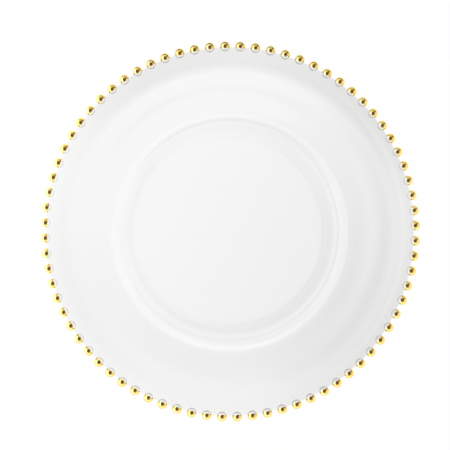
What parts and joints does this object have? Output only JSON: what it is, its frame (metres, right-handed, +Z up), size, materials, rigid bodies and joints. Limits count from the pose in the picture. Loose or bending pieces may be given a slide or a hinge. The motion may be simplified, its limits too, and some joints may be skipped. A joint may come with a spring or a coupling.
{
  "type": "charger plate",
  "caption": "Round clear pressed-glass charger plate with a shallow flat well, a wide waved flange, a foot ring and a rim of round beads gilded on their outer half.",
  "frame": {"origin": "centre of the foot ring's underside, on the surface that the plate stands on", "axes": "+Z up along the plate's axis of revolution; +X through the centre of one bead"},
  "size_m": [0.33, 0.33, 0.0212],
  "materials": {
    "clear_glass": "clear, fire polished",
    "bead_glass": "clear, fire polished",
    "gold_lustre": "bright fired gold lustre"
  },
  "bodies": {
    "root": {"glass_plate": "clear_glass", "rim_beads": "bead_glass", "gold_caps": "gold_lustre"}
  },
  "joints": []
}
